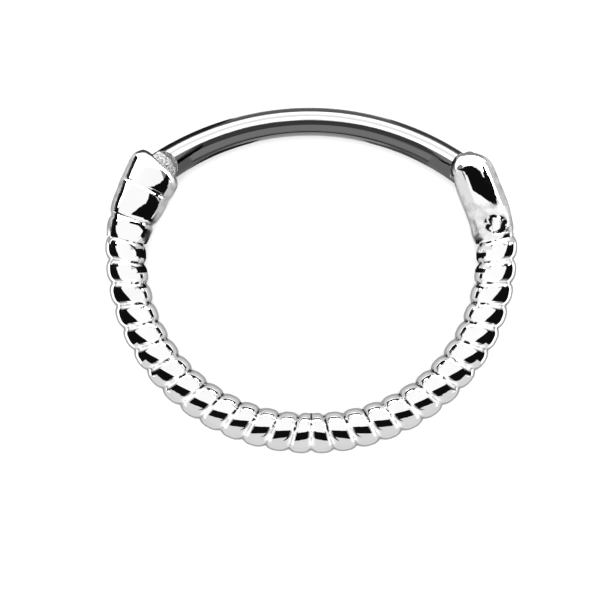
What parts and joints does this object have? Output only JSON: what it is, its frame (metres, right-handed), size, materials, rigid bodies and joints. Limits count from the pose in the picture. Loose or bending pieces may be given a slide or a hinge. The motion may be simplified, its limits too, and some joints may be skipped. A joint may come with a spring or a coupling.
{
  "type": "septum clicker ring",
  "caption": "Hinged ring for a nose piercing: a ribbed cast arc closed across its top by a smooth curved bar that turns on a pin and clicks into a slotted end.",
  "frame": {"origin": "on the surface that the ring lies on, under the middle of its bounding box", "axes": "+X across the ring from the hinge to the latch, +Y from the lowest ribs to the bar, +Z out of the ring's front face"},
  "size_m": [0.0148, 0.0124, 0.0015],
  "materials": {
    "plated_casting": "mirror-bright plating over a casting",
    "bar_steel": "polished steel",
    "pin_steel": "ground pin end"
  },
  "bodies": {
    "ring": {"ribbed_arc": "plated_casting", "hinge_pin": "pin_steel"},
    "bar": {"clicker_bar": "bar_steel"}
  },
  "joints": [
    {"name": "bar_hinge", "type": "hinge", "parent": "ring", "child": "bar", "pos_m": [-0.00586, 0.00372, 0.00073], "axis": [0, 0, 1], "range_deg": [0, 110]}
  ]
}
